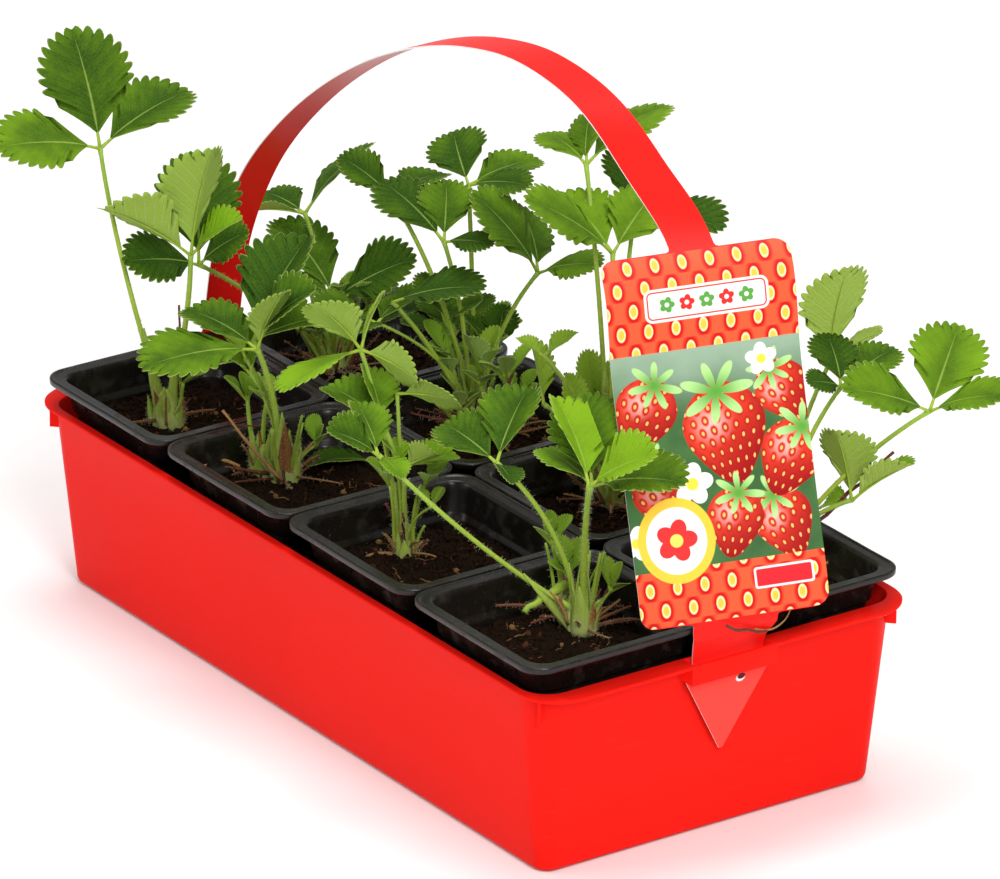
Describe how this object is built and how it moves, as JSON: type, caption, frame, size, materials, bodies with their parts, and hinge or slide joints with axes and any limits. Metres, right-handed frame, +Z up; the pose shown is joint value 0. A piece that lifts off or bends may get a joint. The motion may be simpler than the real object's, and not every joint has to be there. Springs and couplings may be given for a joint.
{
  "type": "strawberry plants in a carry tray",
  "caption": "Low rectangular carry tray of square pots with leafy strawberry plants, and a die-cut strip that arches over them as a handle and hangs down one end as a label.",
  "frame": {"origin": "middle of the tray's flat underside, where it rests on a table", "axes": "+Z up; X along the tray's long side, +X toward the end where the label hangs; -Y toward the front row of pots"},
  "size_m": [0.3928, 0.2555, 0.2857],
  "materials": {
    "tray": "satin injection moulded",
    "strip": "glossy printed sheet",
    "pot": "thin thermoformed sheet, satin",
    "peat": "rough crumbly peat",
    "leaf": "soft hairy leaf"
  },
  "bodies": {
    "root": {"tray": "tray", "handle_strip": "strip", "pot_1": "pot", "soil_1": "peat", "plant_1": "leaf", "pot_2": "pot", "soil_2": "peat", "plant_2": "leaf", "pot_3": "pot", "soil_3": "peat", "plant_3": "leaf", "pot_4": "pot", "soil_4": "peat", "plant_4": "leaf", "pot_5": "pot", "soil_5": "peat", "plant_5": "leaf", "pot_6": "pot", "soil_6": "peat", "plant_6": "leaf", "pot_7": "pot", "soil_7": "peat", "plant_7": "leaf", "pot_8": "pot", "soil_8": "peat", "plant_8": "leaf"}
  },
  "joints": []
}
